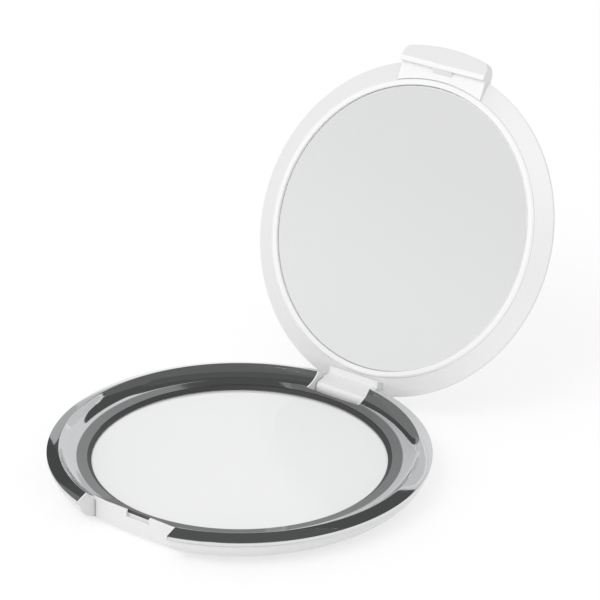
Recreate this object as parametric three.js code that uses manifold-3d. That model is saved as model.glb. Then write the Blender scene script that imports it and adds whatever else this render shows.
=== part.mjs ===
// Compact mirror: a round pocket mirror that stands open, with one glass in its base and one in its lid.
//
// Millimetres, +Z up. The origin is the centre of the base's flat underside. The hinge lies along X
// at the back (+Y) and the latch is at the front (-Y). The lid is drawn shut on the base, in the
// base's own heights, and a group then swings it open about the hinge axis.
import * as THREE from 'three';
import { mergeVertices } from 'three/addons/utils/BufferGeometryUtils.js';
import Module from 'manifold-3d';

const wasm = await Module();
wasm.setup();

// Clearances, and how far cutters and joined solids reach
const seatGap = 0.2;          // between fixed pieces of the base
const lidGap = 0.3;           // round the glass and the tape in the lid
const trimGap = 0.25;         // joint line round the lid's trim ring
const cutGap = 0.1;           // between the bright ring's cut ends and the shell's thin walls
const runGap = 0.3;           // between the lid and the base where one passes the other
const pinGap = 0.2;           // all round the hinge pin
const hookGap = 0.58;         // from the hook's tip to the catch wall
const overrun = 2;            // of a cutter past what it cuts
const weld = 0.5;             // of one joined solid into the next

// Base, widths from the bright ring's outer edge inward
const rimRadius = 35;
const bevelWidth = 2.26;      // outer bevel, up to the crest
const valleyWidth = 3.14;     // from the crest down to the flat band
const bandWidth = 2.1;
const footSlope = 0.4;        // lean of the ring's inner wall
const glassHold = 0.6;        // edge of the glass that the ring's foot covers
const rimOverhang = 0.5;      // bright ring beyond the shell's side
const neckStep = 0.6;         // depth of the groove under the ring's edge
const neckWall = 1;
const sideCurve = 8.5;        // width of the rounded side, in to the flat underside

// Base, heights from the underside upward
const baseFloor = 1.4;
const sideWall = 1.3;
const skirtHeight = 0.1;      // ring's foot below its flat band
const ringWall = 0.8;
const bandDrop = 1.1;         // flat band below the ring's outer edge
const crestRise = 0.78;       // crest above the ring's outer edge
const rimThickness = 0.7;
const neckHeight = 0.3;
const bevelBulge = 0.12;
const valleySag = 0.35;
const lipRise = 0.06;         // bead along the band's inner edge
const lipWidth = 0.25;

// Glasses and the adhesive discs behind them
const glassThickness = 1.5;
const glassBevel = 0.3;
const tapeThickness = 0.5;
const tapeInset = 2.2;

// Front recess of the base, with the catch wall and its notch
const catchInset = 0.4;       // flat face of the catch wall, in from the outside of the flat band
const catchWallThickness = 0.5;
const cheekWidth = 2;
const lipWall = 0.25;         // thin shell walls that close the bright ring's cut ends
const notchHalfWidth = 2.55;
const notchDepth = 1.25;

// Hinge
const openAngle = 116;        // degrees
const hingeInset = 1.95;      // axis, in from the bright ring's outside
const hingeDrop = 2.35;       // axis, below the bright ring's outer edge
const pinDiameter = 1.4;
const pinEndInset = 0.3;
const bossWall = 0.6;         // round the bore in the base's lugs
const lugWidth = 2.4;
const knuckleRadius = 2.3;
const knuckleHalfWidth = 5.5;
const webReach = 3.95;        // web between knuckle and lid, forward from the axis
const webRise = 0.85;         // its lower front corner, up from the axis
const webBack = 1.3;          // its back corner, behind the axis
const webInset = 0.85;        // its top, in from the lid's edge

// Lid, widths from its edge inward
const lidInset = 0.54;        // edge of the lid, in from the crest
const flangeWidth = 3.7;
const trimWidth = 1;
const lidCurve = 12.2;        // width of the rounded back, in to its flat middle

// Lid, heights from its mirror face
const lidWall = 1.5;
const lidEdgeRise = 0.95;
const lidEdgeThickness = 0.4;
const flangeRise = 0.05;
const trimProud = 0.4;
const trimDepth = 0.6;

// Latch: block on the flange, thumb tab and hook
const tabHalfWidth = 9.45;
const tabReach = 0.2;         // tab beyond the bright ring's outside
const tabCornerRadius = 1.6;
const tabProud = 1.25;        // rim of the tab, out from the mirror face
const tabRimWidth = 0.95;
const tabEdgeRise = 0.1;
const tabEdgeThickness = 0.6;
const tabRootHeight = 2.4;
const blockInset = 1.27;      // end of the block, in from the lid's edge
const blockProud = 0.3;
const hookHalfWidth = 2.2;
const hookInset = 0.15;       // hook below the rim of the tab

// Facets
const turns = 72;
const knuckleSides = 32;
const pinSides = 20;
const domeSteps = 7;
const bevelSteps = 2;
const valleySteps = 6;
const arcSteps = 4;

// Radii that follow
const crestRadius = rimRadius - bevelWidth;
const bandRadius = crestRadius - valleyWidth;
const lipRadius = bandRadius - bandWidth;
const footRadius = lipRadius - footSlope;
const baseGlassRadius = footRadius + glassHold;
const pocketRadius = baseGlassRadius + seatGap;
const sideRadius = rimRadius - rimOverhang;
const neckRadius = sideRadius - neckStep;
const neckInnerRadius = neckRadius - neckWall;
const restRadius = sideRadius - sideCurve;
const lidRadius = crestRadius - lidInset;
const lidFlatRadius = lidRadius - lidCurve;
const trimRadius = lidRadius - flangeWidth;
const rebateRadius = trimRadius + trimGap;
const lidPocketRadius = trimRadius - trimWidth;
const lidGlassRadius = lidPocketRadius - lidGap;
const tabRadius = rimRadius + tabReach;
const boreRadius = pinDiameter / 2 + pinGap;
const bossRadius = boreRadius + bossWall;

// Heights that follow, those of the lid with it shut
const baseTapeTop = baseFloor + tapeThickness;
const baseGlassTop = baseTapeTop + glassThickness;
const footUnderside = baseGlassTop + seatGap;
const bandUnderside = footUnderside + skirtHeight;
const bandHeight = bandUnderside + ringWall;
const rimHeight = bandHeight + bandDrop;
const crestHeight = rimHeight + crestRise;
const rimUnderside = rimHeight - rimThickness;
const sideHeight = rimUnderside - neckHeight;
const lidFace = rimHeight;
const lidTapeFoot = lidFace + glassThickness + lidGap;
const lidPocketTop = lidTapeFoot + tapeThickness + lidGap;
const lidTop = lidPocketTop + lidWall;
const lidEdgeTop = lidFace + lidEdgeRise + lidEdgeThickness;
const blockFace = lidFace - blockProud;
const tabUnderside = lidFace - tabProud;
const clearHeight = crestHeight + overrun;

// Places across the base and along the latch
const clearReach = rimRadius + overrun;
const hingeY = rimRadius - hingeInset;
const hingeZ = rimHeight - hingeDrop;
const gapHalfWidth = knuckleHalfWidth + runGap;
const gapFace = hingeY - Math.hypot(webReach, webRise) - runGap;
const lugHalfWidth = gapHalfWidth + lugWidth;
const recessHalfWidth = tabHalfWidth + runGap;
const recessFace = bandRadius - catchInset;
const catchWallBack = recessFace - catchWallThickness;
const blockReach = lidRadius - blockInset;
const tabRimReach = blockReach + tabRimWidth;
const hookReach = recessFace + hookGap;

const point = (x, y) => new THREE.Vector2(x, y);

// Quarter of an ellipse, from the edge of the flat (flat, start) to the side (side, end)
function dome(flat, start, side, end) {
  const points = [];
  for (let i = 0; i <= domeSteps; i += 1) {
    const angle = (Math.PI / 2) * (i / domeSteps);
    points.push(point(flat + (side - flat) * Math.sin(angle), end + (start - end) * Math.cos(angle)));
  }
  return points;
}

// Line between two points that bows to its left by the given height
function bowed(from, to, bow, steps) {
  const along = to.clone().sub(from);
  const across = point(-along.y, along.x).normalize();
  const points = [];
  for (let i = 0; i <= steps; i += 1) {
    const share = i / steps;
    const lift = bow * Math.sin(Math.PI * share);
    points.push(from.clone().addScaledVector(along, share).addScaledVector(across, lift));
  }
  return points;
}

// three.js geometry to solid and back
function solid(geometry) {
  geometry.deleteAttribute('normal');
  geometry.deleteAttribute('uv');
  const merged = mergeVertices(geometry);
  return new wasm.Manifold(new wasm.Mesh({
    numProp: 3,
    vertProperties: new Float32Array(merged.attributes.position.array),
    triVerts: new Uint32Array(merged.index.array),
  }));
}

function geometryOf(body) {
  const mesh = body.getMesh();
  const geometry = new THREE.BufferGeometry();
  geometry.setAttribute('position', new THREE.BufferAttribute(mesh.vertProperties, 3));
  geometry.setIndex(new THREE.BufferAttribute(mesh.triVerts, 1));
  geometry.computeVertexNormals();
  return geometry;
}

// Profile of (radius, height) turned round Z, on the axis at both ends or closed on itself
function turned(profile) {
  const meetsAxis = profile[0].x === 0;
  const points = meetsAxis ? profile : [...profile, profile[0].clone()];
  const geometry = new THREE.LatheGeometry(points, turns);
  geometry.rotateX(Math.PI / 2);
  return solid(geometry);
}

// Outline of (y, z) points drawn out along X, as far to each side
function alongX(outline, halfWidth) {
  const shape = new THREE.Shape(outline);
  const geometry = new THREE.ExtrudeGeometry(shape, { depth: 2 * halfWidth, bevelEnabled: false });
  geometry.translate(0, 0, -halfWidth);
  geometry.applyMatrix4(new THREE.Matrix4().makeBasis(
    new THREE.Vector3(0, 1, 0), new THREE.Vector3(0, 0, 1), new THREE.Vector3(1, 0, 0)));
  return solid(geometry);
}

// Block as wide to each side, between two (y, z) corners
function block(halfWidth, low, high) {
  return alongX([low, point(high.x, low.y), high, point(low.x, high.y)], halfWidth);
}

// Round bar on the hinge axis
function hingeBar(radius, halfLength, sides) {
  const geometry = new THREE.CylinderGeometry(radius, radius, 2 * halfLength, sides);
  geometry.rotateZ(Math.PI / 2);
  geometry.translate(0, hingeY, hingeZ);
  return solid(geometry);
}

// Mirror glass with a small bevel round both faces
function mirror(radius, low) {
  const high = low + glassThickness;
  const faceRadius = radius - glassBevel;
  return turned([point(0, low), point(faceRadius, low), point(radius, low + glassBevel),
    point(radius, high - glassBevel), point(faceRadius, high), point(0, high)]);
}

// Adhesive disc behind a mirror
function tape(glassRadius, low) {
  const radius = glassRadius - tapeInset;
  const high = low + tapeThickness;
  return turned([point(0, low), point(radius, low), point(radius, high), point(0, high)]);
}

// Bright ring's surface from its outer edge over the crest to the flat band
const crest = point(crestRadius, crestHeight);
const valley = bowed(crest, point(bandRadius, bandHeight), valleySag, valleySteps);
const ringSurface = [
  ...bowed(point(rimRadius, rimHeight), crest, -bevelBulge, bevelSteps),
  ...valley.slice(1),
];

// Underside of the valley, or a seat that lies a gap below it
function underValley(gap) {
  return valley.map((p) => point(p.x, p.y - ringWall - gap));
}

// Hollow between the shell's rounded side and the rib that carries the bright ring
function channel() {
  const wallRadius = sideRadius - sideWall;
  const inside = turned([point(0, sideWall), ...dome(restRadius, sideWall, wallRadius, sideHeight),
    point(wallRadius, clearHeight), point(0, clearHeight)]);
  const between = turned([point(bandRadius, 0), point(neckInnerRadius, 0),
    point(neckInnerRadius, clearHeight), point(bandRadius, clearHeight)]);
  return inside.intersect(between);
}

// Thin walls, level with the bright ring's surface, that frame the recess and flank the hinge gap
function ringEndWalls() {
  const foot = bandUnderside - weld;
  const section = turned([point(pocketRadius, foot), point(neckInnerRadius, foot),
    point(neckInnerRadius, rimUnderside), point(rimRadius, rimUnderside), ...ringSurface,
    point(pocketRadius, bandHeight)]);
  const front = block(recessHalfWidth + lipWall, point(-clearReach, 0), point(-catchWallBack, clearHeight));
  const rear = block(gapHalfWidth + lipWall, point(gapFace, 0), point(clearReach, clearHeight));
  return section.intersect(front.add(rear));
}

function baseShell() {
  const body = turned([point(0, 0), ...dome(restRadius, 0, sideRadius, sideHeight),
    point(neckRadius, sideHeight), point(neckRadius, rimUnderside),
    point(neckInnerRadius + seatGap, rimUnderside), ...underValley(seatGap),
    point(bandRadius, bandUnderside), point(pocketRadius, bandUnderside),
    point(pocketRadius, baseFloor), point(0, baseFloor)]);
  const cheeks = block(recessHalfWidth + cheekWidth,
    point(-clearReach, 0), point(-catchWallBack + weld, clearHeight));
  const lugs = block(lugHalfWidth, point(gapFace - weld, 0), point(clearReach, clearHeight));
  const bosses = hingeBar(bossRadius, lugHalfWidth, knuckleSides)
    .intersect(block(lugHalfWidth, point(0, 0), point(clearReach, rimUnderside - seatGap)));
  const recess = block(recessHalfWidth, point(-clearReach, -overrun), point(-recessFace, clearHeight));
  const gap = block(gapHalfWidth, point(gapFace, -overrun), point(clearReach, clearHeight));
  const notch = block(notchHalfWidth,
    point(-clearReach, bandHeight - notchDepth), point(-catchWallBack + seatGap, clearHeight));
  return body.subtract(channel().subtract(cheeks).subtract(lugs))
    .add(bosses)
    .add(ringEndWalls())
    .subtract(recess)
    .subtract(gap)
    .subtract(notch)
    .subtract(hingeBar(boreRadius, lugHalfWidth + overrun, pinSides));
}

function baseTrimRing() {
  const skirtRadius = pocketRadius - seatGap;
  const ring = turned([point(rimRadius, rimUnderside), ...ringSurface,
    point(lipRadius + lipWidth, bandHeight), point(lipRadius, bandHeight + lipRise),
    point(footRadius, footUnderside), point(skirtRadius, footUnderside),
    point(skirtRadius, bandUnderside), ...underValley(0).reverse(),
    point(neckInnerRadius + seatGap, rimUnderside)]);
  const frontCut = block(recessHalfWidth + lipWall + cutGap,
    point(-clearReach, -overrun), point(-catchWallBack + seatGap, clearHeight));
  const rearCut = block(gapHalfWidth + lipWall + cutGap,
    point(gapFace - cutGap, -overrun), point(clearReach, clearHeight));
  return ring.subtract(frontCut).subtract(rearCut);
}

function hingePin() {
  return hingeBar(pinDiameter / 2, lugHalfWidth - pinEndInset, pinSides);
}

// Latch seen along Z: straight sides, rounded corners and a front that follows the compact's edge
function latchPlan() {
  const cornerX = tabHalfWidth - tabCornerRadius;
  const cornerReach = tabRadius - tabCornerRadius;
  const cornerY = Math.sqrt(cornerReach * cornerReach - cornerX * cornerX);
  const cornerTurn = Math.atan2(cornerY, cornerX);
  const shape = new THREE.Shape();
  shape.moveTo(-tabHalfWidth, 0);
  shape.absarc(-cornerX, -cornerY, tabCornerRadius, Math.PI, Math.PI + cornerTurn, false);
  shape.absarc(0, 0, tabRadius, Math.PI + cornerTurn, 2 * Math.PI - cornerTurn, false);
  shape.absarc(cornerX, -cornerY, tabCornerRadius, -cornerTurn, 0, false);
  shape.lineTo(tabHalfWidth, 0);
  const drawn = { depth: lidTop, bevelEnabled: false, curveSegments: arcSteps };
  return solid(new THREE.ExtrudeGeometry(shape, drawn));
}

function latch() {
  const rootTop = lidFace + tabRootHeight;
  const edge = lidFace + tabEdgeRise;
  const section = alongX([
    point(-lidFlatRadius, blockFace), point(-lidFlatRadius, rootTop),
    point(-lidRadius, rootTop - tabEdgeThickness), point(-tabRadius, edge + tabEdgeThickness),
    point(-tabRadius, edge), point(-tabRimReach, tabUnderside),
    point(-blockReach, tabUnderside), point(-blockReach, blockFace),
  ], tabHalfWidth + overrun);
  const hook = block(hookHalfWidth,
    point(-blockReach - hookInset, tabUnderside + hookInset), point(-hookReach, lidFace));
  return section.intersect(latchPlan()).add(hook);
}

function knuckle() {
  const web = alongX([
    point(hingeY - webReach, lidEdgeTop), point(hingeY - webReach, hingeZ + webRise),
    point(hingeY - knuckleRadius, hingeZ), point(hingeY + knuckleRadius, hingeZ),
    point(hingeY + webBack, lidFace), point(lidRadius - webInset, lidEdgeTop),
  ], knuckleHalfWidth);
  return web.add(hingeBar(knuckleRadius, knuckleHalfWidth, knuckleSides));
}

function lidShell() {
  const flange = lidFace + flangeRise;
  const rebateTop = lidFace + trimDepth + trimGap;
  const body = turned([point(0, flange), point(rebateRadius, flange), point(lidRadius, lidFace + lidEdgeRise),
    ...dome(lidFlatRadius, lidTop, lidRadius, lidEdgeTop).reverse(), point(0, lidTop)]);
  const pocket = turned([point(0, tabUnderside), point(rebateRadius, tabUnderside),
    point(rebateRadius, rebateTop), point(lidPocketRadius, rebateTop),
    point(lidPocketRadius, lidPocketTop), point(0, lidPocketTop)]);
  return body.add(latch()).add(knuckle())
    .subtract(pocket)
    .subtract(hingeBar(boreRadius, knuckleHalfWidth + overrun, pinSides));
}

function lidTrimRing() {
  const face = lidFace - trimProud;
  const back = lidFace + trimDepth;
  return turned([point(lidPocketRadius + glassBevel, face), point(trimRadius - glassBevel, face),
    point(trimRadius, face + glassBevel), point(trimRadius, back),
    point(lidPocketRadius, back), point(lidPocketRadius, face + glassBevel)]);
}

const finishes = {
  whitePlastic: { color: 0xf2f2f2, roughness: 0.28, metalness: 0 },
  brightTrim: { color: 0xd2d4d6, roughness: 0.06, metalness: 1 },
  mirrorGlass: { color: 0xeef0f0, roughness: 0.02, metalness: 1 },
  steel: { color: 0xb8babc, roughness: 0.3, metalness: 1 },
  foamTape: { color: 0xe4e2da, roughness: 0.9, metalness: 0 },
};

function piece(name, body, finish) {
  const mesh = new THREE.Mesh(geometryOf(body), new THREE.MeshStandardMaterial(finishes[finish]));
  mesh.name = name;
  return mesh;
}

const base = new THREE.Group();
base.add(
  piece('base_shell', baseShell(), 'whitePlastic'),
  piece('base_trim_ring', baseTrimRing(), 'brightTrim'),
  piece('base_mirror', mirror(baseGlassRadius, baseTapeTop), 'mirrorGlass'),
  piece('base_mirror_tape', tape(baseGlassRadius, baseFloor), 'foamTape'),
  piece('hinge_pin', hingePin(), 'steel'),
);

// Shut on the base, with the hinge axis moved to the lid group's own origin
const shut = new THREE.Group();
shut.position.set(0, -hingeY, -hingeZ);
shut.add(
  piece('lid_shell', lidShell(), 'whitePlastic'),
  piece('lid_trim_ring', lidTrimRing(), 'whitePlastic'),
  piece('lid_mirror', mirror(lidGlassRadius, lidFace), 'mirrorGlass'),
  piece('lid_mirror_tape', tape(lidGlassRadius, lidTapeFoot), 'foamTape'),
);

const lid = new THREE.Group();
lid.position.set(0, hingeY, hingeZ);
lid.rotation.x = -THREE.MathUtils.degToRad(openAngle);
lid.add(shut);

const compact = new THREE.Group();
compact.add(base, lid);

export default compact;
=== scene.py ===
"""Compact mirror, dressed on its CAD frame.

Shapes are drawn in millimetres, +Z up, with the hinge at the back (+Y) and the latch at the front.
The lid's pieces are drawn shut on the base and then swung open about the hinge axis.
"""
import math

import bmesh
import bpy
import numpy as np
from mathutils import Matrix, Vector

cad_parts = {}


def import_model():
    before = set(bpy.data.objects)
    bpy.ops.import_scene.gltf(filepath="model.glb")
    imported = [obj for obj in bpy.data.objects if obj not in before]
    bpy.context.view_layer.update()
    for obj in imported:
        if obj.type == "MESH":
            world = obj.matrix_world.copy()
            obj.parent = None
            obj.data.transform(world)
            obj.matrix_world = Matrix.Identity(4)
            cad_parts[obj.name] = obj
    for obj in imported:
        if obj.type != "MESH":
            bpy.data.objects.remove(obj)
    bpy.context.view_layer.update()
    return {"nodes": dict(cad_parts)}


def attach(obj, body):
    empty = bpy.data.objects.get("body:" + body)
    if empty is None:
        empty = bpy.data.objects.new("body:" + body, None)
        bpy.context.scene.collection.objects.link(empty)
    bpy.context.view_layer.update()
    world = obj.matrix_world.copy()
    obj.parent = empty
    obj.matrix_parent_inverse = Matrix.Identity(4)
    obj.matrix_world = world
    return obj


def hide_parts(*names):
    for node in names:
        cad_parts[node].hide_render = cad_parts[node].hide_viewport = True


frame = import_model()

METRES = 0.001

# Clearances, how far cutters overrun, and how far joined pieces overlap
SEAT_GAP = 0.2
TRIM_GAP = 0.25
CUT_GAP = 0.1
OVERRUN = 2
WELD = 0.5

# Base, radii
RIM_RADIUS = 35
CREST_RADIUS = 32.74
BAND_RADIUS = 29.6
LIP_RADIUS = 27.7
FOOT_RADIUS = 26.85
GLASS_RADIUS = 27.7
POCKET_RADIUS = 27.9
SIDE_RADIUS = 34.5
NECK_RADIUS = 33.9
NECK_INNER_RADIUS = 32.9
REST_RADIUS = 26

# Base, heights and the ring's section
FLOOR_TOP = 1.4
GLASS_FOOT = 1.9
FOOT_UNDERSIDE = 3.6
BAND_UNDERSIDE = 3.7
BAND_HEIGHT = 4.5
SIDE_HEIGHT = 4.6
RIM_UNDERSIDE = 4.9
RIM_HEIGHT = 5.6
CREST_HEIGHT = 6.38
RING_WALL = 0.8
BEVEL_BULGE = 0.03
VALLEY_SAG = 0.35
BAND_DROP = 0.28
CLEAR_HEIGHT = CREST_HEIGHT + OVERRUN
CLEAR_REACH = RIM_RADIUS + OVERRUN

# Glasses
GLASS_THICKNESS = 1.5
GLASS_BEVEL = 0.3

# Front recess and its catch wall
RECESS_HALF_WIDTH = 9.75
RECESS_FACE = 29.2
CATCH_WALL_BACK = 28.7
LIP_WALL = 0.25
NOTCH_HALF_WIDTH = 2.55
NOTCH_FLOOR = 3.25
CORNER_GROOVE = 0.3
GROOVE_FOOT = 0.8

# Hinge
OPEN_ANGLE = math.radians(116)
HINGE_Y = 33.05
HINGE_Z = 3.25
GAP_HALF_WIDTH = 5.8
GAP_FACE = 28.71
LUG_HALF_WIDTH = 8.2
BOSS_RADIUS = 1.5
BORE_RADIUS = 0.9
PIN_RADIUS = 0.7
PIN_HALF_LENGTH = 7.9
KNUCKLE_RADIUS = 1.95
KNUCKLE_RIDGE = math.radians(253)
KNUCKLE_END = math.radians(405)
KNUCKLE_HALF_WIDTH = 5.62
WEB_REACH = 3.95
WEB_RISE = 0.85
WEB_BACK = 1.3
WEB_INSET = 0.85
WEB_FOOT_REACH = 2.67
WEB_FOOT_RISE = 1.26

# Lid, radii
LID_RADIUS = 32.2
LID_FLAT_RADIUS = 20
TRIM_RADIUS = 28.72
REBATE_RADIUS = 28.75
LID_POCKET_RADIUS = 27.5
LID_GLASS_RADIUS = 27.44

# Lid, heights with it shut, and its trim ring's section
LID_FACE = 5.6
FLANGE_HEIGHT = 5.65
FLANGE_EDGE = 6.55
LID_EDGE_TOP = 6.95
LID_POCKET_TOP = 8.2
LID_TOP = 9.7
TRIM_PROUD = 0.4
TRIM_DEPTH = 0.6
TRIM_INNER_EDGE = 0.15
TRIM_OUTER_EDGE = 0.35

# Latch
TAB_HALF_WIDTH = 9.45
TAB_RADIUS = 35.2
TAB_CORNER_RADIUS = 1.6
TAB_UNDERSIDE = 4.35
TAB_EDGE = 5.7
TAB_EDGE_TOP = 6.3
TAB_ROOT_TOP = 8.0
TAB_ROOT_DROP = 0.6
TAB_RIM_REACH = 31.88
BLOCK_REACH = 30.93
BLOCK_FACE = 5.3
HOOK_HALF_WIDTH = 2.2
HOOK_REACH = 30.05
HOOK_INSET = 0.15

# Rounding of the corners of profiles and outlines, as its reach to each side
WALL_ROUNDING = 0.06
GLASS_ROUNDING = 0.06
SHELL_ROUNDING = 0.1
TRIM_ROUNDING = 0.1
LID_ROUNDING = 0.12
HOOK_ROUNDING = 0.15
KNUCKLE_ROUNDING = 0.2
RING_ROUNDING = 0.2
TAB_ROUNDING = 0.28

# Rounding of the ends of what is drawn along X
HOOK_EDGE = 0.08
TAB_EDGE_ROUNDING = 0.1
KNUCKLE_EDGE = 0.1
PIN_EDGE = 0.15
BOSS_EDGE = 0.3

# Fineness of the meshes
TURNS = 256
CURVE_STEPS = 24
END_STEPS = 5
TAB_SECTION_POINTS = 260
FINE_STEP = 0.02
FLATNESS = 0.0015
LONGEST_SEGMENT = 1.2


def rounded(points, reach, closed=True):
    """Round every corner of a line by averaging along it, as far as reach to each side."""
    line = np.array(points, dtype=float)
    if closed:
        line = np.vstack([line, line[:1]])
    lengths = np.concatenate([[0], np.cumsum(np.linalg.norm(np.diff(line, axis=0), axis=1))])
    count = int(lengths[-1] / FINE_STEP)
    places = np.linspace(0, lengths[-1], count + 1)
    fine = np.column_stack([np.interp(places, lengths, line[:, axis]) for axis in (0, 1)])
    spread = max(1, int(reach / FINE_STEP))
    window = np.hanning(2 * spread + 3)[1:-1]  # without its zero ends
    window /= window.sum()
    if closed:
        ring = fine[:-1]
        padded = np.vstack([ring[-spread:], ring, ring[:spread]])
    else:
        start = 2 * fine[0] - fine[1:spread + 1][::-1]
        end = 2 * fine[-1] - fine[-spread - 1:-1][::-1]
        padded = np.vstack([start, fine, end])
    return np.column_stack([np.convolve(padded[:, axis], window, "valid") for axis in (0, 1)])


def thinned(line):
    """Leave out the points that a straight segment replaces within the flatness."""
    kept = [0]
    middle = len(line) // 2
    spans = [(0, middle), (middle, len(line) - 1)]
    while spans:
        low, high = spans.pop()
        along = line[high] - line[low]
        length = np.linalg.norm(along)
        if high - low < 2:
            kept.append(high)
            continue
        offsets = line[low + 1:high] - line[low]
        bows = np.abs(offsets[:, 0] * along[1] - offsets[:, 1] * along[0]) / max(length, FLATNESS)
        worst = int(np.argmax(bows))
        if bows[worst] > FLATNESS:
            spans.extend([(low, low + 1 + worst), (low + 1 + worst, high)])
        elif length > LONGEST_SEGMENT:
            spans.extend([(low, (low + high) // 2), ((low + high) // 2, high)])
        else:
            kept.append(high)
    return line[sorted(kept)]


def soft_profile(points, reach):
    """Profile for turning, with round corners and its ends kept on the axis."""
    on_axis = points[0][0] == 0
    line = rounded(points, reach, closed=not on_axis)
    if not on_axis:
        return thinned(np.vstack([line, line[:1]]))[:-1]
    line = thinned(line)
    line[0, 0] = 0
    line[-1, 0] = 0
    return line


def placed(name, bm):
    """Object from mesh data, with its faces turned outward."""
    bmesh.ops.recalc_face_normals(bm, faces=bm.faces)
    mesh = bpy.data.meshes.new(name)
    bm.to_mesh(mesh)
    bm.free()
    obj = bpy.data.objects.new(name, mesh)
    bpy.context.scene.collection.objects.link(obj)
    return obj


def turned(name, profile):
    """Profile of (radius, height) turned round Z, on the axis at both ends or closed on itself."""
    bm = bmesh.new()
    rings = []
    for radius, height in profile:
        if radius == 0:
            rings.append([bm.verts.new((0, 0, height))] * TURNS)
            continue
        turns = [2 * math.pi * i / TURNS for i in range(TURNS)]
        rings.append([bm.verts.new((radius * math.cos(t), radius * math.sin(t), height)) for t in turns])
    following = rings[1:] if profile[0][0] == 0 else rings[1:] + rings[:1]
    for ring, after in zip(rings, following):
        for i in range(TURNS):
            j = (i + 1) % TURNS
            corners = dict.fromkeys([ring[i], ring[j], after[j], after[i]])
            bm.faces.new(list(corners))
    return placed(name, bm)


def lofted(name, sections):
    """Closed rings of points joined in order, with flat ends."""
    bm = bmesh.new()
    rings = [[bm.verts.new(place) for place in section] for section in sections]
    for ring, after in zip(rings, rings[1:]):
        for i in range(len(ring)):
            j = (i + 1) % len(ring)
            bm.faces.new([ring[i], ring[j], after[j], after[i]])
    bm.faces.new(rings[0][::-1])
    bm.faces.new(rings[-1])
    return placed(name, bm)


def inset(outline, amount):
    """Outline moved inward along its own normals."""
    along = np.roll(outline, -1, axis=0) - np.roll(outline, 1, axis=0)
    along /= np.linalg.norm(along, axis=1)[:, None]
    inward = np.column_stack([-along[:, 1], along[:, 0]])
    return outline + inward * amount


def along_x(name, outline, half_width, edge=0.0):
    """Outline of (y, z) points drawn out along X, with its ends rounded over by edge."""
    outline = np.array(outline, dtype=float)
    sections = []
    for step in range(END_STEPS + 1 if edge else 1):
        turn = (math.pi / 2) * step / END_STEPS
        ring = inset(outline, edge * (1 - math.sin(turn))) if edge else outline
        x = half_width - edge * (1 - math.cos(turn))
        sections.append((x, ring))
    places = [(-x, ring) for x, ring in sections] + [(x, ring) for x, ring in reversed(sections)]
    return lofted(name, [[(x, y, z) for y, z in ring] for x, ring in places])


def block(name, half_width, low, high):
    """Block between two (y, z) corners."""
    return along_x(name, [low, (high[0], low[1]), high, (low[0], high[1])], half_width)


def hinge_bar(name, radius, half_length, edge=0.0):
    """Round bar on the hinge axis."""
    turns = [2 * math.pi * i / TURNS for i in range(0, TURNS, 2)]
    outline = [(HINGE_Y + radius * math.cos(t), HINGE_Z + radius * math.sin(t)) for t in turns]
    return along_x(name, outline, half_length, edge)


def combined(obj, operation, *others):
    """Join, cut or intersect with other solids, which are used up."""
    for other in others:
        step = obj.modifiers.new(operation, "BOOLEAN")
        step.operation = operation
        step.solver = "MANIFOLD"
        step.object = other
        graph = bpy.context.evaluated_depsgraph_get()
        mesh = bpy.data.meshes.new_from_object(obj.evaluated_get(graph))
        obj.modifiers.clear()
        obj.data = mesh
        bpy.data.objects.remove(other)
    return obj


def dome(flat, start, side, end):
    """Quarter of an ellipse, from the edge of the flat to the side."""
    turns = [(math.pi / 2) * i / CURVE_STEPS for i in range(CURVE_STEPS + 1)]
    return [(flat + (side - flat) * math.sin(t), end + (start - end) * math.cos(t)) for t in turns]


def bowed(start, end, bow):
    """Line between two points that bows to its left."""
    start, end = np.array(start, dtype=float), np.array(end, dtype=float)
    along = end - start
    across = np.array([-along[1], along[0]]) / np.linalg.norm(along)
    shares = [i / CURVE_STEPS for i in range(CURVE_STEPS + 1)]
    return [tuple(start + along * s + across * bow * math.sin(math.pi * s)) for s in shares]


# Bright ring's surface from its outer edge over the crest to the flat band
OUTER_BEVEL = bowed((RIM_RADIUS, RIM_HEIGHT), (CREST_RADIUS, CREST_HEIGHT), -BEVEL_BULGE)
VALLEY = bowed((CREST_RADIUS, CREST_HEIGHT), (BAND_RADIUS, BAND_HEIGHT), VALLEY_SAG)
RING_SURFACE = OUTER_BEVEL + VALLEY[1:]


def under_valley(gap):
    """Underside of the valley, or a seat that lies a gap below it."""
    return [(radius, height - RING_WALL - gap) for radius, height in VALLEY]


def ring_end_walls():
    """Thin walls of the shell that frame the recess and flank the hinge gap."""
    foot = BAND_UNDERSIDE - WELD
    section = [(POCKET_RADIUS, foot), (NECK_RADIUS, foot), (SIDE_RADIUS - CUT_GAP, SIDE_HEIGHT - CUT_GAP),
               (SIDE_RADIUS - CUT_GAP, RIM_UNDERSIDE), (RIM_RADIUS, RIM_UNDERSIDE), *RING_SURFACE,
               (POCKET_RADIUS, BAND_HEIGHT)]
    walls = []
    for half_width, low, high in (
            (RECESS_HALF_WIDTH + LIP_WALL, -CLEAR_REACH, -CATCH_WALL_BACK),
            (GAP_HALF_WIDTH + LIP_WALL, GAP_FACE, CLEAR_REACH)):
        wall = turned("wall", soft_profile(section, WALL_ROUNDING))
        walls.append(combined(wall, "INTERSECT", block("cut", half_width, (low, 0), (high, CLEAR_HEIGHT))))
    return walls


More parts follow.
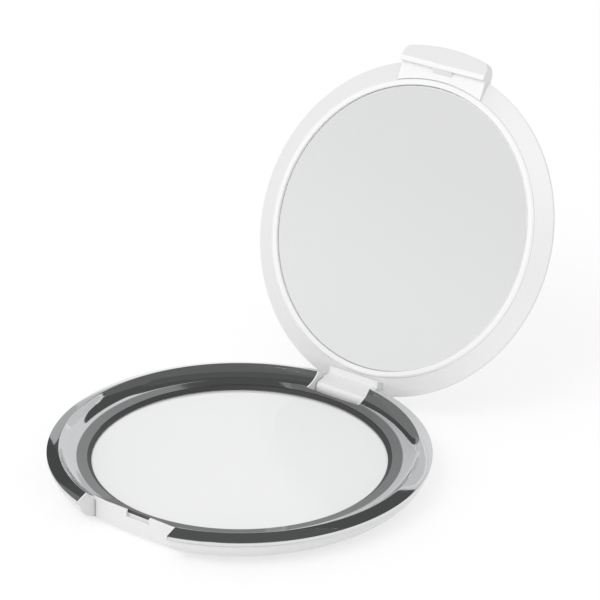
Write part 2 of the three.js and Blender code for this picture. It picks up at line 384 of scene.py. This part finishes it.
def base_shell():
    """White dish with its recess, notch, hinge gap and bosses."""
    profile = [(0, 0), *dome(REST_RADIUS, 0, SIDE_RADIUS, SIDE_HEIGHT), (NECK_RADIUS, SIDE_HEIGHT),
               (NECK_RADIUS, RIM_UNDERSIDE), (NECK_INNER_RADIUS + SEAT_GAP, RIM_UNDERSIDE),
               *under_valley(SEAT_GAP), (BAND_RADIUS, BAND_UNDERSIDE),
               (POCKET_RADIUS, BAND_UNDERSIDE), (POCKET_RADIUS, FLOOR_TOP), (0, FLOOR_TOP)]
    shell = turned("base_shell_form", soft_profile(profile, SHELL_ROUNDING))
    bosses = combined(
        hinge_bar("boss", BOSS_RADIUS, LUG_HALF_WIDTH, BOSS_EDGE), "INTERSECT",
        block("cut", LUG_HALF_WIDTH + WELD, (0, 0), (CLEAR_REACH, RIM_UNDERSIDE - SEAT_GAP)))
    combined(shell, "UNION", bosses, *ring_end_walls())
    grooves = combined(
        block("grooves", RECESS_HALF_WIDTH, (-RECESS_FACE - WELD, GROOVE_FOOT),
              (-RECESS_FACE + CORNER_GROOVE, BAND_HEIGHT - CORNER_GROOVE)), "DIFFERENCE",
        block("between", RECESS_HALF_WIDTH - CORNER_GROOVE, (-CLEAR_REACH, -OVERRUN), (0, CLEAR_HEIGHT)))
    return combined(
        shell, "DIFFERENCE", grooves,
        block("recess", RECESS_HALF_WIDTH, (-CLEAR_REACH, -OVERRUN), (-RECESS_FACE, CLEAR_HEIGHT)),
        block("gap", GAP_HALF_WIDTH, (GAP_FACE, -OVERRUN), (CLEAR_REACH, CLEAR_HEIGHT)),
        block("notch", NOTCH_HALF_WIDTH, (-CLEAR_REACH, NOTCH_FLOOR),
              (-CATCH_WALL_BACK + SEAT_GAP, CLEAR_HEIGHT)),
        hinge_bar("bore", BORE_RADIUS, LUG_HALF_WIDTH + OVERRUN))


def bright_ring():
    """Bright ring round the base glass, cut away at the latch and the hinge."""
    skirt = POCKET_RADIUS - SEAT_GAP
    profile = [(RIM_RADIUS, RIM_UNDERSIDE), *RING_SURFACE, (LIP_RADIUS, BAND_HEIGHT - BAND_DROP),
               (FOOT_RADIUS, FOOT_UNDERSIDE),
               (skirt, FOOT_UNDERSIDE), (skirt, BAND_UNDERSIDE), *reversed(under_valley(0)),
               (NECK_INNER_RADIUS + SEAT_GAP, RIM_UNDERSIDE)]
    ring = turned("bright_ring_form", soft_profile(profile, RING_ROUNDING))
    return combined(
        ring, "DIFFERENCE",
        block("front", RECESS_HALF_WIDTH + LIP_WALL + CUT_GAP,
              (-CLEAR_REACH, -OVERRUN), (-CATCH_WALL_BACK + SEAT_GAP, CLEAR_HEIGHT)),
        block("rear", GAP_HALF_WIDTH + LIP_WALL + CUT_GAP,
              (GAP_FACE - CUT_GAP, -OVERRUN), (CLEAR_REACH, CLEAR_HEIGHT)))


def glass(name, radius, low):
    """Round glass with ground edges."""
    high = low + GLASS_THICKNESS
    face = radius - GLASS_BEVEL
    profile = [(0, low), (face, low), (radius, low + GLASS_BEVEL),
               (radius, high - GLASS_BEVEL), (face, high), (0, high)]
    return turned(name, soft_profile(profile, GLASS_ROUNDING))


def latch():
    """Thumb tab and the block behind it, as sections across X that follow the rounded plan."""
    corner_x = TAB_HALF_WIDTH - TAB_CORNER_RADIUS
    corner_y = math.sqrt((TAB_RADIUS - TAB_CORNER_RADIUS) ** 2 - corner_x ** 2)
    root_top = TAB_ROOT_TOP - TAB_ROOT_DROP
    top_slope = (root_top - TAB_EDGE_TOP) / (TAB_RADIUS - LID_RADIUS)
    low_slope = (TAB_EDGE - TAB_UNDERSIDE) / (TAB_RADIUS - TAB_RIM_REACH)
    edge = TAB_EDGE_ROUNDING
    middle = [corner_x * i / CURVE_STEPS for i in range(CURVE_STEPS)]
    turns = [(math.pi / 2) * i / CURVE_STEPS for i in range(CURVE_STEPS + 1)]
    half = middle + [corner_x + TAB_CORNER_RADIUS * math.sin(t) for t in turns]
    sections = []
    for x in [-x for x in reversed(half[1:])] + half:
        out = abs(x)
        if out <= corner_x:
            front = math.sqrt(TAB_RADIUS ** 2 - out ** 2)
        else:
            front = corner_y + math.sqrt(max(0, TAB_CORNER_RADIUS ** 2 - (out - corner_x) ** 2))
        outline = [(-LID_FLAT_RADIUS, BLOCK_FACE), (-LID_FLAT_RADIUS, TAB_ROOT_TOP),
                   (-LID_RADIUS, root_top), (-front, root_top - top_slope * (front - LID_RADIUS)),
                   (-front, TAB_UNDERSIDE + low_slope * (front - TAB_RIM_REACH)),
                   (-TAB_RIM_REACH, TAB_UNDERSIDE), (-BLOCK_REACH, TAB_UNDERSIDE),
                   (-BLOCK_REACH, BLOCK_FACE)]
        ring = rounded(outline, TAB_ROUNDING)
        picks = np.linspace(0, len(ring), TAB_SECTION_POINTS, endpoint=False).astype(int)
        depth = max(0, edge - (TAB_HALF_WIDTH - out))
        ring = inset(ring[picks], edge - math.sqrt(edge ** 2 - depth ** 2))
        sections.append([(x, y, z) for y, z in ring])
    return lofted("latch", sections)


def knuckle():
    """Round knuckle with a flat top behind its ridge, and the web that joins it to the lid."""
    steps = 2 * CURVE_STEPS
    sweep = KNUCKLE_END - KNUCKLE_RIDGE
    turns = [KNUCKLE_RIDGE + sweep * i / steps for i in range(steps + 1)]
    outline = [(HINGE_Y + KNUCKLE_RADIUS * math.cos(t), HINGE_Z + KNUCKLE_RADIUS * math.sin(t))
               for t in turns]
    outline += [(HINGE_Y + WEB_BACK, LID_FACE), (LID_RADIUS - WEB_INSET, LID_EDGE_TOP),
                (HINGE_Y - WEB_REACH, LID_EDGE_TOP), (HINGE_Y - WEB_REACH, HINGE_Z + WEB_RISE),
                (HINGE_Y - WEB_FOOT_REACH, HINGE_Z + WEB_FOOT_RISE)]
    outline = thinned(rounded(outline, KNUCKLE_ROUNDING))
    return along_x("knuckle", outline, KNUCKLE_HALF_WIDTH, KNUCKLE_EDGE)


def lid_shell():
    """White lid with its latch, hook, knuckle and the pocket for its glass."""
    profile = [(0, FLANGE_HEIGHT), (REBATE_RADIUS, FLANGE_HEIGHT), (LID_RADIUS, FLANGE_EDGE),
               *reversed(dome(LID_FLAT_RADIUS, LID_TOP, LID_RADIUS, LID_EDGE_TOP)), (0, LID_TOP)]
    shell = turned("lid_shell_form", soft_profile(profile, LID_ROUNDING))
    hook_outline = [(-BLOCK_REACH - HOOK_INSET, TAB_UNDERSIDE + HOOK_INSET),
                    (-BLOCK_REACH, TAB_UNDERSIDE + HOOK_INSET), (-HOOK_REACH, BLOCK_FACE - HOOK_INSET),
                    (-HOOK_REACH, LID_FACE), (-BLOCK_REACH - HOOK_INSET, LID_FACE)]
    hook_outline = thinned(rounded(hook_outline, HOOK_ROUNDING))
    hook = along_x("hook", hook_outline, HOOK_HALF_WIDTH, HOOK_EDGE)
    combined(shell, "UNION", latch(), hook, knuckle())
    rebate = LID_FACE + TRIM_DEPTH + TRIM_GAP
    pocket = [(0, TAB_UNDERSIDE), (REBATE_RADIUS, TAB_UNDERSIDE), (REBATE_RADIUS, rebate),
              (LID_POCKET_RADIUS, rebate), (LID_POCKET_RADIUS, LID_POCKET_TOP), (0, LID_POCKET_TOP)]
    return combined(shell, "DIFFERENCE", turned("pocket", pocket),
                    hinge_bar("bore", BORE_RADIUS, KNUCKLE_HALF_WIDTH + OVERRUN))


def lid_ring():
    """Narrow ring that stands proud round the lid glass."""
    face = LID_FACE - TRIM_PROUD
    back = LID_FACE + TRIM_DEPTH
    inner, outer = LID_POCKET_RADIUS, TRIM_RADIUS
    profile = [(inner + TRIM_INNER_EDGE, face), (outer - TRIM_OUTER_EDGE, face),
               (outer, face + TRIM_OUTER_EDGE), (outer, back),
               (inner, back), (inner, face + TRIM_INNER_EDGE)]
    return turned("lid_ring_form", soft_profile(profile, TRIM_ROUNDING))


# Materials: the grain's parts, and the limits between the plain colour and the painted edge highlight
CLOUD_RATIO = 6
CLOUD_DETAIL = 4
SPECK_DETAIL = 6
BEVEL_SAMPLES = 6
EDGE_HIGHLIGHT_WIDTH = 0.3
EDGE_HIGHLIGHT_SAMPLES = 8
EDGE_HIGHLIGHT_TURN = (0.985, 0.93)
AIR_SAMPLES = 6
AIR_REACH = 2 * EDGE_HIGHLIGHT_WIDTH
AIR_SHARE = (0.75, 0.95)
SHARP_ANGLE = math.radians(32)

# Darker tone of the bright ring's flat band, a painted shade that stands in for its dark reflections, and
# the width in mm of its change at each side
BAND_PAINTED_SHADE = 0.35
TONE_FADE = 0.1


def grey(tone):
    return (tone, tone, tone)


def added(tree, kind, inputs=None, **settings):
    """New node with its settings and then its inputs, linked where they are sockets, set elsewhere."""
    node = tree.nodes.new(kind)
    for name, value in settings.items():
        setattr(node, name, value)
    for name, value in (inputs or {}).items():
        if isinstance(value, bpy.types.NodeSocket):
            tree.links.new(value, node.inputs[name])
        else:
            node.inputs[name].default_value = value
    return node


def painted_edge_highlight(tree, colour, highlight_colour):
    """Colour that turns to a painted highlight colour on outer edges, where a wide bevel turns the normal in
    open air.
    """
    wide = added(tree, "ShaderNodeBevel", {"Radius": EDGE_HIGHLIGHT_WIDTH * METRES}, samples=EDGE_HIGHLIGHT_SAMPLES)
    flat = added(tree, "ShaderNodeNewGeometry")
    turn = added(tree, "ShaderNodeVectorMath", {0: wide.outputs["Normal"], 1: flat.outputs["Normal"]},
                 operation="DOT_PRODUCT")
    highlight_share = added(tree, "ShaderNodeMapRange", {"Value": turn.outputs["Value"],
                                              "From Min": EDGE_HIGHLIGHT_TURN[0], "From Max": EDGE_HIGHLIGHT_TURN[1]})
    air = added(tree, "ShaderNodeAmbientOcclusion", {"Distance": AIR_REACH * METRES},
                samples=AIR_SAMPLES, only_local=True)
    outer = added(tree, "ShaderNodeMapRange", {"Value": air.outputs["AO"],
                                               "From Min": AIR_SHARE[0], "From Max": AIR_SHARE[1]})
    both = added(tree, "ShaderNodeMath", {0: highlight_share.outputs["Result"], 1: outer.outputs["Result"]},
                 operation="MULTIPLY")
    bright = added(tree, "ShaderNodeMix", {"Factor": both.outputs["Value"], "A": colour, "B": (*highlight_colour, 1)},
                   data_type="RGBA")
    return bright.outputs["Result"]


def surface(name, dark, light, roughness, grain, bump, metallic=0.0, stretch=(1, 1, 1), edge=0.0,
            highlight_colour=None):
    """Principled finish with a fine grain in its colour, gloss and bump, soft edges and a painted edge
    highlight.
    """
    material = bpy.data.materials.new(name)
    material.use_nodes = True
    tree = material.node_tree
    place = added(tree, "ShaderNodeTexCoord")
    mapping = added(tree, "ShaderNodeMapping", {"Vector": place.outputs["Object"], "Scale": stretch})
    grid = mapping.outputs["Vector"]
    cloud = added(tree, "ShaderNodeTexNoise", {"Vector": grid, "Scale": grain / CLOUD_RATIO,
                                                "Detail": CLOUD_DETAIL})
    speck = added(tree, "ShaderNodeTexNoise", {"Vector": grid, "Scale": grain, "Detail": SPECK_DETAIL})
    tint = added(tree, "ShaderNodeMix", {"Factor": cloud.outputs["Fac"], "A": (*dark, 1), "B": (*light, 1)},
                 data_type="RGBA")
    gloss = added(tree, "ShaderNodeMapRange", {"Value": speck.outputs["Fac"],
                                               "To Min": roughness[0], "To Max": roughness[1]})
    relief = added(tree, "ShaderNodeBump", {"Height": speck.outputs["Fac"], "Strength": 1,
                                            "Distance": bump * METRES})
    if edge:
        soft = added(tree, "ShaderNodeBevel", {"Radius": edge * METRES}, samples=BEVEL_SAMPLES)
        tree.links.new(soft.outputs["Normal"], relief.inputs["Normal"])
    colour = tint.outputs["Result"]
    if highlight_colour:
        colour = painted_edge_highlight(tree, colour, highlight_colour)
    shader = tree.nodes["Principled BSDF"]
    shader.inputs["Metallic"].default_value = metallic
    tree.links.new(colour, shader.inputs["Base Color"])
    tree.links.new(gloss.outputs["Result"], shader.inputs["Roughness"])
    tree.links.new(relief.outputs["Normal"], shader.inputs["Normal"])
    return material


# The shell's white gets a painted highlight, near-white, along its outer edges.
SHELL_WHITE = surface("shell_white", grey(0.81), grey(0.83), (0.26, 0.30),
                      4000, 0.0005, edge=0.12, highlight_colour=grey(0.98))
# Brighter, glossier white: on the lid shell's flat faces it is a painted highlight where they catch the
# light; on the trim ring it is partly that ring's own whiter moulding and partly a painted highlight.
WHITE_AND_PAINTED_HIGHLIGHT = surface("face_white_and_painted_highlight", grey(0.94), grey(0.955), (0.18, 0.24),
                     4000, 0.0003, edge=0.12)
CHROME = surface("bright_chrome", (0.70, 0.71, 0.72), (0.74, 0.75, 0.76), (0.03, 0.07),
                 900, 0.0002, metallic=1.0, edge=0.05)
# Near-black satin that paints shade on the bright ring's inner wall and on the flat ends of its cut-outs.
RING_PAINTED_SHADE = surface("ring_painted_shade", (0.050, 0.050, 0.052), (0.062, 0.062, 0.064), (0.40, 0.50),
                     900, 0.0005, edge=0.05)
SILVER = surface("silvered_glass", (0.955, 0.96, 0.96), (0.965, 0.97, 0.97), (0.10, 0.13),
                 600, 0.0, metallic=0.3)
FOAM = surface("foam_tape", (0.70, 0.69, 0.65), (0.82, 0.81, 0.77), (0.8, 0.95), 2600, 0.05)
STEEL = surface("pin_steel_drawn", (0.52, 0.53, 0.54), (0.66, 0.67, 0.68), (0.2, 0.4),
                1500, 0.006, metallic=1.0, stretch=(0.05, 1, 1))


def toned_by_radius(material, zones):
    """Multiply a finish by a tone that follows the distance from Z: (radius in mm, tone), outward."""
    tree = material.node_tree
    base = tree.nodes["Principled BSDF"].inputs["Base Color"]
    colour = base.links[0].from_socket
    first, last = zones[0][0], zones[-1][0]
    place = added(tree, "ShaderNodeTexCoord")
    flat = added(tree, "ShaderNodeVectorMath", {0: place.outputs["Object"], 1: (1, 1, 0)},
                 operation="MULTIPLY")
    length = added(tree, "ShaderNodeVectorMath", {0: flat.outputs["Vector"]}, operation="LENGTH")
    share = added(tree, "ShaderNodeMapRange", {"Value": length.outputs["Value"],
                                               "From Min": first * METRES, "From Max": last * METRES})
    ramp = added(tree, "ShaderNodeValToRGB", {"Fac": share.outputs["Result"]})
    stops = ramp.color_ramp.elements
    while len(stops) < len(zones):
        stops.new(0.5)
    for stop, (radius, tone) in zip(stops, zones):
        stop.position = (radius - first) / (last - first)
        stop.color = (*grey(tone), 1)
    tint = added(tree, "ShaderNodeMix", {"Factor": 1, "A": colour, "B": ramp.outputs["Color"]},
                 data_type="RGBA", blend_type="MULTIPLY")
    tree.links.new(tint.outputs["Result"], base)


# The chrome's flat band is darkened by a painted shade, in place of dark reflections.
toned_by_radius(CHROME, [(LIP_RADIUS - TONE_FADE, 1.0), (LIP_RADIUS, BAND_PAINTED_SHADE),
                         (BAND_RADIUS - TONE_FADE, BAND_PAINTED_SHADE), (BAND_RADIUS + TONE_FADE, 1.0)])


def finished(obj, material, body, slot, *nodes, other=None, chosen=None):
    """Turn a piece to metres, smooth it, give it its finish and set it on its body.

    Faces that chosen(centre, normal) picks, while the piece lies shut, get the other material.
    """
    picked = [face.index for face in obj.data.polygons if other and chosen(face.center, face.normal)]
    if body == "lid":
        swing = (Matrix.Translation((0, HINGE_Y, HINGE_Z)) @ Matrix.Rotation(-OPEN_ANGLE, 4, "X")
                 @ Matrix.Translation((0, -HINGE_Y, -HINGE_Z)))
        obj.data.transform(swing)
    obj.data.transform(Matrix.Scale(METRES, 4))
    obj.data.shade_smooth()
    obj.data.set_sharp_from_angle(angle=SHARP_ANGLE)
    obj.data.materials.clear()
    obj.data.materials.append(material)
    if other:
        obj.data.materials.append(other)
    for index in picked:
        obj.data.polygons[index].material_index = 1
    normals = obj.modifiers.new("normals", "WEIGHTED_NORMAL")
    normals.keep_sharp = True
    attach(obj, body)
    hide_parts(*nodes)
    return obj


# Which faces get the other finish: limits for the parts of their normals, and a depth in mm
WALL_DEPTH = 0.04
WALL_STEEPNESS = 0.95
SQUARE_ON = 0.9999
BLOCK_DOWNWARD = 0.97
WEB_DOWNWARD = 0.9


def ring_painted_shade(centre, normal):
    """The ring's inner wall and the flat ends of its cut-outs, which get a painted shade."""
    if math.hypot(centre.x, centre.y) < LIP_RADIUS - WALL_DEPTH and abs(normal.z) < WALL_STEEPNESS:
        return True
    square_on = max(abs(normal.x), abs(normal.y)) > SQUARE_ON
    return square_on and abs(centre.x) < RECESS_HALF_WIDTH + OVERRUN


def painted_highlight_faces(centre, normal):
    """The latch block's flat face, the underside of the tab's rim and the foot of the hinge's web, which get
    a painted highlight.
    """
    if centre.z >= LID_FACE - HOOK_INSET:
        return False
    if centre.y < -LID_FLAT_RADIUS:
        return normal.z < -BLOCK_DOWNWARD
    return centre.y > HINGE_Y - WEB_REACH and normal.z < -WEB_DOWNWARD


finished(base_shell(), SHELL_WHITE, "base", "white_plastic", "base_shell")
finished(bright_ring(), CHROME, "base", "chrome_trim", "base_trim_ring", other=RING_PAINTED_SHADE, chosen=ring_painted_shade)
finished(glass("base_glass_form", GLASS_RADIUS, GLASS_FOOT), SILVER, "base", "mirror_glass", "base_mirror")
finished(hinge_bar("hinge_pin_form", PIN_RADIUS, PIN_HALF_LENGTH, PIN_EDGE), STEEL, "base", "pin_steel",
         "hinge_pin")
finished(lid_shell(), SHELL_WHITE, "lid", "white_plastic", "lid_shell", other=WHITE_AND_PAINTED_HIGHLIGHT, chosen=painted_highlight_faces)
# The trim ring's brighter white is partly its own and partly a painted highlight.
finished(lid_ring(), WHITE_AND_PAINTED_HIGHLIGHT, "lid", "white_plastic", "lid_trim_ring")
finished(glass("lid_glass_form", LID_GLASS_RADIUS, LID_FACE), SILVER, "lid", "mirror_glass", "lid_mirror")

for node in ("base_mirror_tape", "lid_mirror_tape"):
    tape = frame["nodes"][node]
    tape.data.materials.clear()
    tape.data.materials.append(FOAM)


# Camera, at the photograph's viewing angle, in metres and millimetres of lens
CAMERA_PLACE = (0.27478, -0.35883, 0.24553)
CAMERA_AZIMUTH = math.radians(36.11)
CAMERA_ELEVATION = math.radians(24.97)
CAMERA_ROLL = math.radians(0.83)
LENS = 169.01
SENSOR = 36.0
CLIP_START = 0.01


def camera():
    """The scene's camera."""
    data = bpy.data.cameras.new("camera")
    data.sensor_width = SENSOR
    data.lens = LENS
    data.clip_start = CLIP_START
    view = bpy.data.objects.new("camera", data)
    view.matrix_world = (
        Matrix.Translation(CAMERA_PLACE) @ Matrix.Rotation(CAMERA_AZIMUTH, 4, "Z")
        @ Matrix.Rotation(math.pi / 2 - CAMERA_ELEVATION, 4, "X") @ Matrix.Rotation(CAMERA_ROLL, 4, "Z"))
    bpy.context.scene.collection.objects.link(view)
    bpy.context.scene.camera = view


camera()

# Floor, world, lamps and panels, in metres
FLOOR_SIZE = 6.0
FLOOR_CELLS = 8
FLOOR_DROP = 0.00003
FLOOR_LIT = 0.9
FLOOR_SEEN = 0.36
FLOOR_GLOW = 0.66
AMBIENT = 1.0
LAMP_TARGET = (0, 0.02, 0.02)
FLAG_DISTANCE = 2.5
FLAG_STEPS = 24


def blank(holder):
    """Empty node tree of a material or a world."""
    holder.use_nodes = True
    holder.node_tree.nodes.clear()
    return holder.node_tree


def seen_rays(tree):
    """Factor that is 1 for camera, glossy and transmission rays."""
    path = added(tree, "ShaderNodeLightPath")
    total = path.outputs["Is Camera Ray"]
    for kind in ("Is Glossy Ray", "Is Transmission Ray"):
        join = added(tree, "ShaderNodeMath", {0: total, 1: path.outputs[kind]}, operation="MAXIMUM")
        total = join.outputs[0]
    return total


def floor():
    """Pale floor that looks white with a soft shadow, and lights the object as a plain white one."""
    bm = bmesh.new()
    bmesh.ops.create_grid(bm, x_segments=FLOOR_CELLS, y_segments=FLOOR_CELLS, size=FLOOR_SIZE / 2)
    obj = placed("floor", bm)
    obj.location.z = -FLOOR_DROP
    material = bpy.data.materials.new("floor_white")
    tree = blank(material)
    lit = added(tree, "ShaderNodeBsdfDiffuse", {"Color": (*grey(FLOOR_LIT), 1)})
    shaded = added(tree, "ShaderNodeBsdfDiffuse", {"Color": (*grey(FLOOR_SEEN), 1)})
    glow = added(tree, "ShaderNodeEmission", {"Strength": FLOOR_GLOW})
    seen = added(tree, "ShaderNodeAddShader", {0: shaded.outputs[0], 1: glow.outputs[0]})
    mix = added(tree, "ShaderNodeMixShader", {0: seen_rays(tree), 1: lit.outputs[0], 2: seen.outputs[0]})
    added(tree, "ShaderNodeOutputMaterial", {"Surface": mix.outputs[0]})
    obj.data.materials.append(material)


def world():
    """Even light from all round."""
    sky = bpy.data.worlds.new("studio")
    bpy.context.scene.world = sky
    tree = blank(sky)
    light = added(tree, "ShaderNodeBackground", {"Strength": AMBIENT})
    added(tree, "ShaderNodeOutputWorld", {"Surface": light.outputs[0]})


def lamp(name, place, size, power):
    """Square softbox that faces the object."""
    data = bpy.data.lights.new(name, "AREA")
    data.size = size
    data.energy = power
    light = bpy.data.objects.new(name, data)
    light.location = place
    aim = Vector(LAMP_TARGET) - light.location
    light.rotation_euler = aim.to_track_quat("-Z", "Y").to_euler()
    bpy.context.scene.collection.objects.link(light)


def on_sphere(azimuth, elevation):
    """Place in degrees on the sphere of the studio's panels."""
    around, up = math.radians(azimuth), math.radians(elevation)
    return (FLAG_DISTANCE * math.cos(up) * math.cos(around),
            FLAG_DISTANCE * math.cos(up) * math.sin(around), FLAG_DISTANCE * math.sin(up))


def flag(name, azimuths, elevations, tone):
    """Grey panel of the studio, a patch of a sphere round the object, that only reflections show."""
    bm = bmesh.new()
    across = np.linspace(*azimuths, FLAG_STEPS + 1)
    rows = [[bm.verts.new(on_sphere(azimuth, elevation)) for azimuth in across]
            for elevation in np.linspace(*elevations, FLAG_STEPS + 1)]
    for row, after in zip(rows, rows[1:]):
        for j in range(FLAG_STEPS):
            bm.faces.new([row[j], row[j + 1], after[j + 1], after[j]])
    obj = placed(name, bm)
    material = bpy.data.materials.new(name)
    tree = blank(material)
    glow = added(tree, "ShaderNodeEmission", {"Color": (*grey(tone), 1)})
    added(tree, "ShaderNodeOutputMaterial", {"Surface": glow.outputs[0]})
    material.cycles.emission_sampling = "NONE"
    obj.data.materials.append(material)
    obj.visible_camera = False
    obj.visible_diffuse = False
    obj.visible_shadow = False
    obj.visible_transmission = False
    obj.visible_volume_scatter = False


floor()
world()
lamp("key", (-0.15, -1.86, 2.22), 1.5, 18.0)
lamp("fill", (-0.15, -2.87, 0.40), 1.0, 6.0)

# Tones that the lid's glass shows, from the low panel upward in steps of one degree
LID_GLOW = (0.54, 0.48, 0.42, 0.36, 0.30, 0.24, 0.18)
GLOW_AZIMUTHS = (215, 260)
GLOW_START = 17

# Panels: azimuths and elevations in degrees, then the tone
PANELS = (
    ("ceiling_top", (217, 397), (60, 90), 0.15),
    ("ceiling_dark", (37, 217), (60, 90), 0.11),
    ("ceiling_front", (200, 285), (36, 60), 0.15),
    ("ceiling_far", (160, 200), (36, 60), 0.2),
    ("ceiling_strip", (285, 335), (36, 48), 1.0),
    ("ceiling_over", (285, 335), (48, 60), 0.15),
    ("ceiling_right", (335, 420), (36, 60), 0.15),
    ("ceiling_back", (60, 110), (36, 60), 0.09),
    ("ceiling_left", (134, 160), (36, 60), 0.09),
    ("ceiling_edge", (124.5, 134), (38, 48), 0.25),
    ("ceiling_middle", (110, 134), (48, 60), 0.09),
    ("right_high", (-15, 80), (22, 36), 0.05),
    ("right_low", (-15, 86), (8, 22), 0.05),
    ("left_high", (149, 160), (9, 36), 0.08),
    ("left_far", (160, 200), (9, 36), 0.22),
    ("left_card", (131.5, 141), (0, 20), 0.6),
    ("left_step", (141, 149), (0, 20), 0.48),
    ("left_over", (137, 149), (20, 36), 0.1),
    ("left_edge", (132, 137), (20, 38), 0.3),
    ("left_low", (149, 195), (0, 9), 0.3),
    ("near_card", (118, 129.5), (4, 19), 0.6),
    ("front", (295, 345), (8, 36), 0.06),
    ("lid_low", GLOW_AZIMUTHS, (0, GLOW_START), LID_GLOW[0]),
    ("lid_high", GLOW_AZIMUTHS, (GLOW_START + len(LID_GLOW), 36), LID_GLOW[-1]),
    ("lid_side", (260, 288), (0, 36), 0.30),
    *((f"lid_step_{i}", GLOW_AZIMUTHS, (GLOW_START + i, GLOW_START + i + 1), tone)
      for i, tone in enumerate(LID_GLOW)),
)
for panel in PANELS:
    flag(*panel)

bpy.context.scene.view_settings.view_transform = "Standard"
